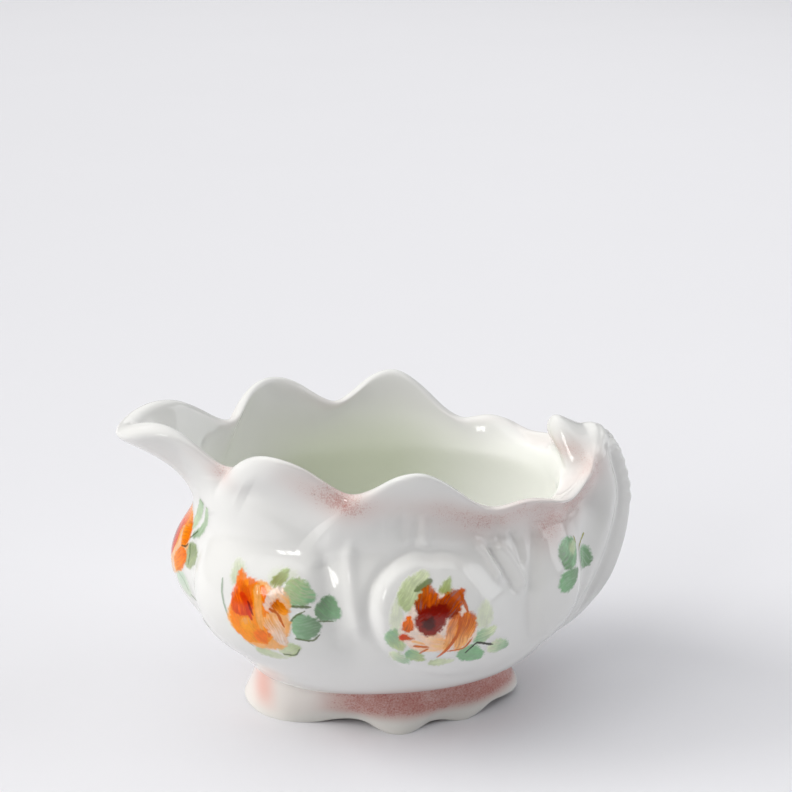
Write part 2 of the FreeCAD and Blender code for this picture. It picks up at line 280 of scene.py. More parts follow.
def upward(v, rows):
    # weights of the clamped cubic basis at the values v
    last = rows - 3
    knots = np.concatenate([[0, 0, 0], np.arange(0, last + 1), [last, last, last]]).astype(float)
    n = len(knots) - 1
    v = np.clip(v, 0, last - 1e-9)
    b = ((v[:, None] >= knots[None, :-1]) & (v[:, None] < knots[None, 1:])).astype(float)
    for d in range(1, 4):
        nb = np.zeros((len(v), n - d))
        for i in range(n - d):
            left = knots[i + d] - knots[i]
            right = knots[i + d + 1] - knots[i + 1]
            if left > 0:
                nb[:, i] += (v - knots[i]) / left * b[:, i]
            if right > 0:
                nb[:, i] += (knots[i + d + 1] - v) / right * b[:, i + 1]
        b = nb
    return b


def surface_at(poles, u, v):
    across, rising = around(u, poles.shape[0]), upward(v, poles.shape[1])
    return np.einsum("ac,bk,ckd->abd", across, rising, poles, optimize=True)


def surface(poles, count, v):
    # the whole way round, in count even steps
    return surface_at(poles, np.arange(count) * poles.shape[0] / count, v)


def grid_normals(s):
    du = np.roll(s, -1, 0) - np.roll(s, 1, 0)
    dv = np.empty_like(s)
    dv[:, 1:-1] = s[:, 2:] - s[:, :-2]
    dv[:, 0] = s[:, 1] - s[:, 0]
    dv[:, -1] = s[:, -1] - s[:, -2]
    n = np.cross(dv, du)
    return n / np.maximum(np.linalg.norm(n, axis=-1, keepdims=True), 1e-12)


# ---------------------------------------------------------------- modelled relief on the outside
# outlines and ridges are given as (plan angle in degrees from the handle, height in mm)
HEART = ((83, 60.6), (86.5, 61.3), (90, 59.0), (92.8, 55.0), (94, 49.5), (93.6, 44), (92.2, 38.5), (89.5, 32.5),
         (85.5, 28), (79, 24.8), (72, 23.2), (65, 23.2), (60, 25.6), (58.5, 29.5), (61, 34.5), (65, 41),
         (67.5, 47.5), (69.8, 52.3), (73, 56.4), (77, 59.4), (80.5, 60.6))
FRONT_PUFF = ((118, 61.6), (110.5, 62.0), (105, 60.2), (101.4, 54.5), (99.4, 48), (98.6, 41), (98.8, 34.5),
              (101.5, 28.5), (108, 24.6), (120, 23.2), (134, 24.2), (146, 29), (151, 38), (150.5, 49),
              (146, 57.5), (137, 61.6), (127, 62.8), (121, 62.2))
LIP_PUFF = ((180, 60.5), (170, 61.5), (161, 60), (155.5, 54), (153.6, 44), (155, 34.5), (161, 28), (171, 24.6),
            (189, 24.6), (199, 28), (205, 34.5), (206.4, 44), (204.5, 54), (199, 60), (190, 61.5))
SPRIG_PANEL = ((54.2, 66), (54.4, 60.5), (56.3, 55), (58.4, 49), (59.2, 43.5), (57.6, 36), (52.5, 29.5),
               (44, 25.6), (33, 24.6), (24, 27.5), (20.5, 34), (20.5, 46), (22, 57), (27, 63), (36, 66.5),
               (46, 68))
# each ridge or groove: its line, half width, height (less than 0 for a groove)
RIDGES = (
    (((98.4, 63.5), (98.2, 59.0), (97.6, 54.0), (96.9, 48.0), (96.0, 41.0)), 2.1, 0.85),
    (((84.0, 70), (84.2, 66), (84.0, 62.6)), 1.3, 0.5),
    (((104, 60), (102.6, 54), (101.4, 47), (100.4, 40)), 2.6, -0.9),
    (((72.5, 62.6), (70.8, 59.5), (69.4, 56.2), (67.8, 52.6)), 1.2, 1.1),
    (((66.8, 61), (64.4, 57.6), (62.4, 53.4), (60.8, 48.6)), 1.4, 1.15),
    (((52.6, 64.5), (52.2, 61.5), (52.8, 58.8)), 1.6, 0.45),
    (((85.8, 70), (86.2, 66), (86.4, 63.0)), 1.2, -0.35),
    (((69.6, 61.2), (67.6, 57.4), (65.6, 53.4), (63.4, 48.6)), 1.1, -0.9),
    (((61.6, 63), (60.6, 58.6), (60.2, 54.6)), 1.3, -0.8),
    (((63, 62.5), (69, 65.5), (76, 68.5), (84, 70.0), (92, 68.5)), 4.4, -1.8),
    (((106, 65.5), (113, 69), (120, 72), (128, 74), (136, 74)), 4.0, -1.3),
    (((156, 76), (153, 70), (150, 64)), 2.6, 0.4),
)
# ridges of the handle: (plan angle in degrees, place up the wall in rows)
HANDLE_RIDGES = (
    (((10.5, 11.4), (13.5, 10.4), (16, 9.4), (17.6, 8.0), (18.4, 6.8), (19.6, 5.6), (20.6, 4.5), (21.5, 3.4)),
     2.3, 1.1),
    (((9.5, 10.2), (11.6, 9.2), (12.4, 8.2), (12.6, 7.0), (13.6, 5.6), (15, 4.2), (16, 3.0)), 1.9, -1.1),
    (((4.8, 10.8), (6.0, 9.4), (6.4, 8.0), (7.0, 6.4), (8.2, 4.8), (9.6, 3.4)), 1.6, 0.75),
    (((2.6, 10.6), (3.0, 9.0), (3.2, 7.6)), 0.9, -0.45),
    (((24.5, 9.6), (25.4, 8.4), (25.6, 7.0), (26, 5.6)), 2.2, -0.6),
    (((12.5, 11.9), (17, 11.3), (20.5, 10.2), (24, 9.3), (28, 8.6)), 2.2, 0.6),
)
# small beads down the crest of the handle, as wall rows, and the mound at the heel of the thumb rest
BEADS = (10.9, 10.3, 9.7, 9.1, 8.5, 7.9, 7.3)
BEAD_HEIGHT = 0.8
HEEL_ROW = 11.3
HEEL_HEIGHT = 1.1
# size of one degree and of one wall row at the handle
DEGREE_MM = 0.78
ROW_MM = 6.6
# the outer face ends at this row, on the crown of the rim
CROWN_ROW = 12.6


def smooth_line(points, closed=False, steps=7):
    # curve through all the points
    p = np.array(points, float)
    ring = np.vstack([p[-1:], p, p[:2]]) if closed else np.vstack([2 * p[0] - p[1], p, 2 * p[-1] - p[-2]])
    t = np.linspace(0, 1, steps, endpoint=False)[:, None]
    out = []
    for a, b, c, d in zip(ring[:-3], ring[1:-2], ring[2:-1], ring[3:]):
        square, cube = 2 * a - 5 * b + 4 * c - d, 3 * b - a - 3 * c + d
        out.append(0.5 * (2 * b + (c - a) * t + square * t ** 2 + cube * t ** 3))
    out.append(ring[-2:-1])
    return np.vstack(out)


def to_line(q, line):
    # distance from each point to the line, and how far along it the nearest place is (0 to 1)
    best = np.full(len(q), 1e9)
    place = np.zeros(len(q))
    n = len(line) - 1
    for i in range(n):
        d = line[i + 1] - line[i]
        r = q - line[i]
        t = np.clip(r @ d / max(d @ d, 1e-9), 0, 1)
        r = r - t[:, None] * d
        dist = np.hypot(r[:, 0], r[:, 1])
        m = dist < best
        best[m] = dist[m]
        place[m] = (i + t[m]) / n
    return best, place


def inside(q, line):
    # whether each point is inside the closed line
    odd = np.zeros(len(q), bool)
    for (ax, ay), (bx, by) in zip(line[:-1], line[1:]):
        cross = (ay > q[:, 1]) != (by > q[:, 1])
        if ay != by:
            odd ^= cross & (q[:, 0] < ax + (q[:, 1] - ay) / (by - ay) * (bx - ax))
    return odd


def flat_angle():
    # plan angle in degrees to millimetres round the belly, past the middle of the lip side as well
    t = np.linspace(0, 180, 361)
    p = oval(6, t, 0.0, False)[:, :2]
    s = np.concatenate([[0], np.cumsum(np.hypot(*np.diff(p, axis=0).T))])
    return np.concatenate([t, 180 + t[1:]]), np.concatenate([s, s[-1] * 2 - s[::-1][1:]])


ANGLES, AROUND_MM = flat_angle()


def flat(points):
    p = np.array(points, float)
    p[:, 0] = np.interp(p[:, 0], ANGLES, AROUND_MM)
    return p


def cushion(q, outline, height, groove, soft, top, bottom, turn=(0, 0)):
    # domed panel with a soft shoulder and a shallow groove round it, fading out above and below;
    # turn gives the two plan angles between which the shoulder gets softer
    line = smooth_line(flat(outline), True)
    lo, hi = line.min(0) - 9, line.max(0) + 9
    pick = ((q > lo) & (q < hi)).all(1)
    h = np.zeros(len(q))
    p = q[pick]
    d, _ = to_line(p, line)
    into = np.where(inside(p, line), d, -d)
    if turn[0]:
        soft = soft * (1 + 2.4 * step(*np.interp(turn, ANGLES, AROUND_MM), p[:, 0]))
    fade = step(top + 3, top - 4, p[:, 1]) * (0.15 + 0.85 * step(bottom, bottom + 13, p[:, 1]))
    dome = height * step(-0.7 * soft, 2.9 * soft, into) * (0.25 + 0.75 * fade)
    dome = dome * np.exp(-np.maximum(into, 0) / 34)
    h[pick] = dome - groove * fade * np.exp(-((into + 0.35 * soft) / (1.15 * soft)) ** 2)
    return h


def ridges(q, table):
    h = np.zeros(len(q))
    for points, wide, high in table:
        line = smooth_line(points)
        lo, hi = line.min(0) - 4 * abs(wide), line.max(0) + 4 * abs(wide)
        pick = ((q > lo) & (q < hi)).all(1)
        d, t = to_line(q[pick], line)
        taper = np.clip(np.sin(np.pi * (0.06 + 0.88 * t)) * 2.2, 0, 1)
        h[pick] += high * taper * np.exp(-(d / (wide * (0.6 + 0.4 * taper))) ** 2)
    return h


def relief(tau, z, rows):
    # raised and sunk work on the outer face at the plan angles tau (0 to 180) and wall rows given
    a, b = z.shape
    across = np.repeat(np.interp(tau, ANGLES, AROUND_MM)[:, None], b, 1)
    q = np.stack([across.ravel(), z.ravel()], -1)
    h = cushion(q, HEART, 1.6, 0.6, 1.3, 66, 33, (80, 64)) + cushion(q, FRONT_PUFF, 2.0, 0.4, 4.4, 60, 24)
    h += cushion(q, LIP_PUFF, 0.25, 0.3, 2.9, 57, 26) + cushion(q, SPRIG_PANEL, 0.9, 0.6, 1.6, 63, 26)
    h += ridges(q, tuple((flat(p), w, m) for p, w, m in RIDGES))
    h = h.reshape(a, b)
    up = rows[None, :]
    h *= step(12.4, 10.8, up) * step(0.6, 2.2, up)
    v = np.repeat(up, a, 0)
    g = np.stack([np.repeat(tau[:, None] * DEGREE_MM, b, 1).ravel(), (v * ROW_MM).ravel()], -1)
    lines = tuple((np.array(p) * [DEGREE_MM, ROW_MM], w, m) for p, w, m in HANDLE_RIDGES)
    beads = np.zeros((a, b))
    for row in BEADS:
        beads += BEAD_HEIGHT * bell(tau[:, None] / 12.0) * bell((up - row) / 0.34)
    heel = HEEL_HEIGHT * bell(tau[:, None] / 10.0) * bell((up - HEEL_ROW) / 0.5)
    return h + ridges(g, lines).reshape(a, b) + beads + heel


def outside_relief(s, count, rows):
    # relief on the outer face only, the far half mirrored from the near one
    half = count // 2 + 1
    k = np.searchsorted(rows, CROWN_ROW)
    h = relief(np.arange(half) * 360.0 / count, s[:half, :k, 2], rows[:k])
    full = np.zeros(s.shape[:2])
    full[:half, :k] = h
    full[half:, :k] = h[1:count - half + 1][::-1]
    return full


# ---------------------------------------------------------------- meshes
# a vertex attribute is a number or, with three columns, a vector at each vertex
def new_object(name, verts, faces, normals=None, attrs=None):
    mesh = bpy.data.meshes.new(name)
    verts = np.asarray(verts, float) * MM
    mesh.from_pydata(verts.tolist(), [], [tuple(f) for f in faces])
    mesh.validate(verbose=False)
    mesh.update()
    for key, values in (attrs or {}).items():
        values = np.asarray(values, np.float32)
        if values.ndim == 2:
            a = mesh.attributes.new(key, "FLOAT_VECTOR", "POINT")
            a.data.foreach_set("vector", values.ravel())
        else:
            a = mesh.attributes.new(key, "FLOAT", "POINT")
            a.data.foreach_set("value", values)
    mesh.polygons.foreach_set("use_smooth", np.ones(len(mesh.polygons), bool))
    if normals is not None:
        mesh.normals_split_custom_set_from_vertices(np.asarray(normals).tolist())
    obj = bpy.data.objects.new(name, mesh)
    bpy.context.scene.collection.objects.link(obj)
    return obj


def grid_faces(a, b, closed=True):
    # four-sided faces of a grid of a by b points, closed round its first way or open
    i = np.arange(a if closed else a - 1)[:, None]
    k = np.arange(b - 1)[None, :]
    n = (i + 1) % a
    return np.stack([i * b + k, i * b + k + 1, n * b + k + 1, n * b + k], -1).reshape(-1, 4)


# fineness of the jug and the foot: steps round, steps up the wall; rows that close floor and base
COUNT = 960
FOOT_COUNT = 840
FOOT_STEPS = 110
CLOSING = 14
V_ROWS = np.concatenate([np.linspace(0, 9, 150, endpoint=False), np.linspace(9, 17, 130, endpoint=False),
                         np.linspace(17, 27, 60)])
JUG_POLES = jug_poles()
# rose lustre below the rim: plan angle, drop below the rim, reach, strength
RIM_BLUSH = (
    (129, 3, 3.2, 0.45), (123, 3.5, 3.2, 0.7), (117, 2.5, 3.4, 0.9), (112, 2, 3.4, 1.0), (107, 3, 3.2, 0.75),
    (101, 4, 3.2, 0.45), (94, 8, 3.4, 0.3), (86, 11, 3.6, 0.55), (79, 9, 3.4, 0.8), (72, 7, 3.4, 1.0),
    (65, 5, 3.4, 1.0), (58, 4.5, 3.4, 0.75), (51, 1, 3.0, 0.6), (42, 3, 4.2, 0.95), (35, 8, 4.0, 0.9),
    (29, 6, 4.2, 0.9), (20, 5, 3.6, 0.7), (16, 3, 3.2, 0.6), (149, 3, 2.2, 0.35), (154, 1, 2.6, 0.95),
    (158, 1, 2.2, 0.6), (163, 1, 2.2, 0.3),
)
# and on the handle's collar: x, y, z, reach, strength
COLLAR_BLUSH = (
    (52, -11, 74, 3.0, 0.7), (52, -13, 71, 3.0, 0.8), (50, -13, 67, 3.0, 0.5), (42, -2, 77, 1.5, 0.7),
    (45, -4, 76, 2.0, 1.2), (48, -6, 76, 2.0, 1.0),
)
BLUSH = tuple((np.interp(angle, RIM[:, 0], RIM[:, 1]), -np.interp(angle, RIM[:, 0], RIM[:, 2]),
               np.interp(angle, RIM[:, 0], RIM[:, 3]) - drop, reach, strength)
              for angle, drop, reach, strength in RIM_BLUSH) + COLLAR_BLUSH


def blush(points):
    # strength of the rose lustre at points of the jug, alike on both sides
    p = points.reshape(-1, 3).copy()
    p[:, 1] = -np.abs(p[:, 1])
    far = step(4, 12, points.reshape(-1, 3)[:, 1]) * step(44, 36, p[:, 0])
    total = np.zeros(len(p))
    for x, y, z, reach, strength in BLUSH:
        wide = reach * 1.35
        away = (p - [x, y, z]) / [wide * 1.15, wide * 1.4, wide]
        total += 0.62 * strength * np.exp(-(away ** 2).sum(1))
    return np.clip(total, 0, 1.1) * (1 - 0.8 * far)


def closing_rows(ring, shares, rise):
    # rings that shrink from the given one toward the middle
    middle = np.array([CENTRE_X, 0.0, 0.0])
    rows = []
    for share in shares:
        r = middle + (ring - middle) * [share, share, 1]
        r[:, 2] = ring[:, 2] + rise * (1 - share ** 2)
        rows.append(r)
    return np.stack(rows, 1)


def jug_surface():
    # the jug's skin as a grid, its normals, and where its colour changes: the rose lustre, and painted shade
    # and painted light inside the bowl
    s = surface(JUG_POLES, COUNT, V_ROWS)
    s = s + grid_normals(s) * outside_relief(s, COUNT, V_ROWS)[:, :, None]
    shares = np.linspace(0, 1, CLOSING + 1)
    under = closing_rows(s[:, 0], shares[:-1], 1.6)
    floor = closing_rows(s[:, -1], shares[::-1][1:], -0.3)
    full = np.concatenate([under, s, floor], 1)
    n = grid_normals(full)
    n[:, 0] = [0, 0, -1]
    n[:, -1] = [0, 0, 1]

    def up_the_wall(first, last, at_floor=0.0):
        return np.concatenate([np.zeros(CLOSING), step(first, last, V_ROWS), np.full(CLOSING, at_floor)])

    x = full[:, :, 0]
    within = up_the_wall(14.2, 18.8, 1.0)[None, :]
    # painted shade inside the bowl: strongest in the middle, less toward the spout, faint toward the handle end
    # where the light falls
    interior_painted_shade = (1 - 0.9 * step(-2, 32, x)) * (1 - 0.75 * step(-20, -42, x))
    near_knob = step(34.0, 40.0, x)
    painted_rows = up_the_wall(14.6, 13.5) * (1 - near_knob) + up_the_wall(16.8, 15.8) * near_knob
    rose = blush(full).reshape(n.shape[:2]) * painted_rows
    # tints: painted greenish shade inside the bowl, painted light inside toward the handle end, and the rose
    # lustre
    return full, n, {"inside": within * interior_painted_shade, "inside_painted_light": within * step(-14, 18, x), "blush": rose}


def jug_piece(name, faces, s, n, tints):
    used, faces = np.unique(faces, return_inverse=True)
    shifted = s.reshape(-1, 3)[used] + [FRAME_SHIFT, 0, 0]
    return new_object(name, shifted, faces.reshape(-1, 4), n.reshape(-1, 3)[used],
                      {key: value.ravel()[used] for key, value in tints.items()})


def make_jug():
    s, n, tints = jug_surface()
    faces = grid_faces(COUNT, s.shape[1])
    middle = s.reshape(-1, 3)[faces].mean(1)
    lip = (middle[:, 0] < LIP_CUT_X) & (middle[:, 2] > LIP_CUT_Z)
    collar = (middle[:, 0] > 37.0) & (middle[:, 2] > HANDLE_CUT_Z) & (np.abs(middle[:, 1]) < 30)
    grip = (middle[:, 0] > HANDLE_CUT_X) | collar
    parts = (("bowl_porcelain", ~lip & ~grip, "bowl"), ("lip_porcelain", lip, "pouring_lip"),
             ("handle_porcelain", grip & ~lip, "handle"))
    for name, mask, node in parts:
        piece = jug_piece(name, faces[mask], s, n, tints)
        piece.data.materials.append(PORCELAIN)
        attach(piece, "root")
        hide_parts(node)


def make_foot():
    poles = skirt_poles()
    poles[:, :, 0] += FRAME_SHIFT
    rows = np.linspace(0, 8, FOOT_STEPS)
    s = surface(poles, FOOT_COUNT, rows)
    n = grid_normals(s)
    down = np.repeat(np.clip(rows / 5.0, 0, 1)[None, :], FOOT_COUNT, 0)
    edge = np.repeat(np.exp(-((rows - 4.7) / 0.5) ** 2)[None, :], FOOT_COUNT, 0)
    within = np.repeat(step(5.4, 6.4, rows)[None, :], FOOT_COUNT, 0)
    x, y = s[:, :, 0] - FRAME_SHIFT, np.abs(s[:, :, 1])
    # pink lustre band on the upper foot with painted shade under the belly in it: full in the middle and toward
    # the handle, faint at the spout end
    lustre_band_and_shade = step(2.4, 6.8, s[:, :, 2] + 3.0 * step(-20, -34, x))
    lustre_band_and_shade = lustre_band_and_shade * (0.12 + 0.88 * step(-27, -12, x)) * (1 - within)
    peach = bell((x + 38.0) / 5.0) * bell((y - 8.0) / 12.0) * step(0.62, 0.15, down) * (1 - within)
    piece = new_object("foot_porcelain", s.reshape(-1, 3), grid_faces(FOOT_COUNT, FOOT_STEPS),
                       n.reshape(-1, 3), {"lustre_band_and_shade": lustre_band_and_shade.ravel(), "edge": edge.ravel(), "peach": peach.ravel()})
    piece.data.materials.append(FOOT)
    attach(piece, "root")
    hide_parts("foot_skirt")


def make_sprays():
    for node in ("rose_spray_lip_side", "rose_spray_front_near", "rose_spray_side_near", "leaf_sprig_near",
                 "rose_spray_front_far", "rose_spray_side_far", "leaf_sprig_far"):
        key = node if node in SPRAYS else node.rsplit("_", 1)[0]
        piece = spray("painted_" + node, key, 1 if node.endswith("_far") else -1)
        piece.data.materials.append(LEAF_ENAMEL if node.startswith("leaf") else ROSE_ENAMEL)
        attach(piece, "root")
        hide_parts(node)


# ---------------------------------------------------------------- painted sprays
# a brush mark is: kind, points in mm from the spray's middle (right, up), softness or width in mm,
# cover, first and second colour (0 to 255), the axis the colour and bristles follow, bristle strength
MIST, SAGE, GREEN, DEEP = (204, 212, 180), (172, 186, 140), (130, 170, 132), (100, 132, 98)
OLIVE, MOSS, INK = (130, 132, 56), (82, 96, 56), (30, 32, 14)
CREAM, PEACH, AMBER, ORANGE = (230, 214, 204), (240, 186, 138), (250, 150, 46), (240, 112, 20)
RUST, RED, MAROON, UMBER = (190, 86, 18), (210, 52, 6), (122, 14, 2), (56, 8, 2)


def leaf(at, length, width, turn, first, second, cover=0.9, bristle=0.5, soft=0.55):
    # one pressed brush mark, blunt at its root and pointed at its tip; turn is in degrees
    way = np.array((math.cos(math.radians(turn)), math.sin(math.radians(turn))))
    across = np.array((-way[1], way[0]))
    outline = []
    for k in range(14):
        a = math.tau * k / 14
        outline.append(tuple(at + way * length / 2 * math.cos(a)
                             + across * width / 2 * math.sin(a) * (1 - 0.35 * math.cos(a))))
    root, tip = tuple(at - way * length * 0.42), tuple(at + way * length * 0.42)
    return ("area", tuple(outline), soft, cover, first, second, (root, tip), bristle)


def vein(points, width, color, cover=0.85, bristle=0.2):
    return ("line", points, width, cover, color, color, None, bristle)


ROSE_OPEN = (
    leaf((-7.5, 9), 6, 4, 120, SAGE, MIST, 0.6, soft=1.3),
    leaf((5, 9.5), 8, 4, 10, MIST, MIST, 0.35, soft=1.3),
    vein(((-11, 6.5), (-9.5, 2), (-7, -3), (-4, -7), (-2.5, -9)), 0.5, DEEP, 0.6),
    leaf((4.5, 9), 5.5, 3, 50, OLIVE, SAGE, bristle=0.7),
    leaf((10, 6), 8.5, 6, -15, SAGE, GREEN, bristle=0.9),
    leaf((17.5, 2), 7, 6, -35, DEEP, GREEN),
    leaf((12, -2), 7.5, 6.5, 5, GREEN, DEEP),
    leaf((7, -8.5), 6, 4, 25, MIST, SAGE, 0.85),
    leaf((1.5, -10.5), 8, 3, -15, SAGE, MIST, 0.7, soft=0.8),
    vein(((8, 3), (13, 3)), 0.6, MOSS),
    vein(((7, -2.5), (9, 0.5), (11.5, 2)), 0.5, MOSS),
    vein(((9, -5), (13, -5.5), (15, -4)), 0.5, MOSS),
    vein(((5, -10), (8, -10), (9.5, -8)), 0.4, MOSS),
    vein(((15, -0.5), (18.5, -1)), 0.4, MOSS, 0.8),
    leaf((0, 0.5), 15, 15.5, 90, PEACH, PEACH, 0.97, 0.2),
    leaf((1, -5), 8, 11, 90, PEACH, PEACH, 0.95, 0.2),
    leaf((-2, 0.5), 16, 10.5, 100, AMBER, ORANGE, 0.96, 0.6),
    leaf((-5.5, 7.5), 4.5, 3, 120, AMBER, ORANGE),
    leaf((-4.5, 3.5), 8.5, 5.5, 110, RED, ORANGE, 0.93, 0.7),
    leaf((-2.5, -3.5), 6, 3.5, -70, PEACH, AMBER, 0.9, 0.7),
    vein(((-4.5, 4.5), (-3, 3), (-1.5, -1)), 1.4, RED, 0.95),
    vein(((-2.5, 3), (-1, 0)), 0.5, MAROON),
    vein(((-1, 6.5), (0, 3), (1, -3.5)), 2.2, PEACH, 0.9, 0.6),
    vein(((0.5, 6.5), (3, 2), (2.5, -5)), 1.4, ORANGE, 0.92, 0.6),
    leaf((5, 3.5), 7, 6, -30, CREAM, PEACH, 0.93),
    leaf((5.5, 2.5), 4.5, 2.5, -35, RUST, AMBER, 0.93),
    leaf((4.5, -3), 9, 4.5, -70, PEACH, CREAM, 0.95),
    leaf((0.5, -5.5), 4, 3.5, -60, ORANGE, ORANGE),
    vein(((3, 2), (5, 1), (6.5, -2)), 0.6, RUST, 0.95),
)
ROSE_FULL = (
    leaf((-8, 7.5), 10.5, 6.5, 50, SAGE, MIST, 0.9, soft=0.8),
    vein(((-4, 9.5), (-8, 7.5)), 1.4, MOSS, 0.8, 0.4),
    leaf((-13, 2), 8, 3.5, 90, MIST, MIST, 0.55, soft=1.1),
    leaf((-13, -4.5), 7, 5, -60, GREEN, SAGE, 0.85, soft=0.8),
    leaf((-0.5, 7.5), 5.5, 3, 60, OLIVE, SAGE, 0.95, soft=0.7),
    vein(((0, 6), (-1.5, 5)), 1.0, INK, 0.95),
    leaf((-12, -10.5), 7, 3.5, -35, MIST, GREEN, 0.75, soft=0.8),
    leaf((-8, -9.5), 6, 3.5, -35, GREEN, SAGE),
    leaf((-1, -12.5), 7, 2.5, 0, SAGE, MIST, 0.75),
    leaf((9, 0.5), 7, 5, 75, MIST, MIST, 0.6, soft=1.3),
    leaf((9.5, -5), 7, 4.5, 20, GREEN, MIST, soft=0.7),
    leaf((7, -11), 9, 5.5, -30, GREEN, GREEN, 0.95),
    leaf((15.5, -11), 8.5, 4.5, -20, MIST, GREEN, 0.85, soft=0.8),
    leaf((-3, 0), 14, 17.5, 90, CREAM, CREAM, 0.97, 0.2),
    leaf((0, -2.5), 13, 13, 90, CREAM, CREAM, 0.97, 0.2),
    leaf((-5, -5), 11, 6.5, -20, CREAM, PEACH, 0.9, 0.4),
    leaf((3.5, -3.5), 11, 5, -105, RUST, PEACH, 0.96, 0.7),
    leaf((0.5, -3), 11, 3, -105, RUST, PEACH, 0.85, 0.6),
    vein(((2.5, 1), (2, -3), (-0.5, -8), (-2.5, -10.5)), 0.8, RUST, 0.95, 0.4),
    vein(((0, -8.5), (4, -8), (6, -5)), 0.5, RUST),
    leaf((1, 4.5), 8, 5, 40, MAROON, RUST, 0.97, 0.8),
    vein(((3, 6.5), (4.5, 2)), 0.8, RUST, 0.9, 0.4),
    leaf((-5, 5), 7, 6, 80, MAROON, RUST, 0.97, 0.9),
    leaf((-4, 1), 9, 6.5, 40, MAROON, MAROON, 0.97, 0.4),
    leaf((-5, 0), 3.5, 3, 60, UMBER, UMBER, soft=0.8),
    leaf((-10, 0), 4, 2.5, 80, RUST, ORANGE, 0.96, 0.7),
    leaf((-10.5, -3.5), 3.5, 1.8, -10, RED, RUST, 0.97),
    vein(((-9, -4.5), (-6, -5.5)), 0.7, PEACH, 0.8, 0.4),
    vein(((-8.5, -6), (-5, -6.5)), 0.7, RUST, 0.8, 0.5),
    vein(((-7, -8.5), (-5, -7)), 0.6, RUST, 0.8, 0.4),
    vein(((5, -10), (7, -7.5), (8, -7)), 0.5, INK, 1.0),
    vein(((7.5, -7), (13, -9.5)), 0.7, INK, 1.0),
)
SPRIG = (
    leaf((-4, 2.5), 10, 7, 15, DEEP, GREEN, 0.93, 0.8),
    leaf((-2, 3), 5, 2.5, 10, MIST, MIST, 0.6, 0.2, 0.8),
    leaf((6.5, -3.5), 8, 5.5, -50, GREEN, DEEP, 0.93, 0.7),
    leaf((-6.5, -3.5), 9, 5, 10, GREEN, DEEP, 0.93, 0.6),
    vein(((6.5, 3.5), (5.5, 2), (2.5, 0.5)), 0.6, OLIVE, 0.95),
    vein(((1, 4.5), (1, 3)), 0.8, OLIVE, 0.95),
)
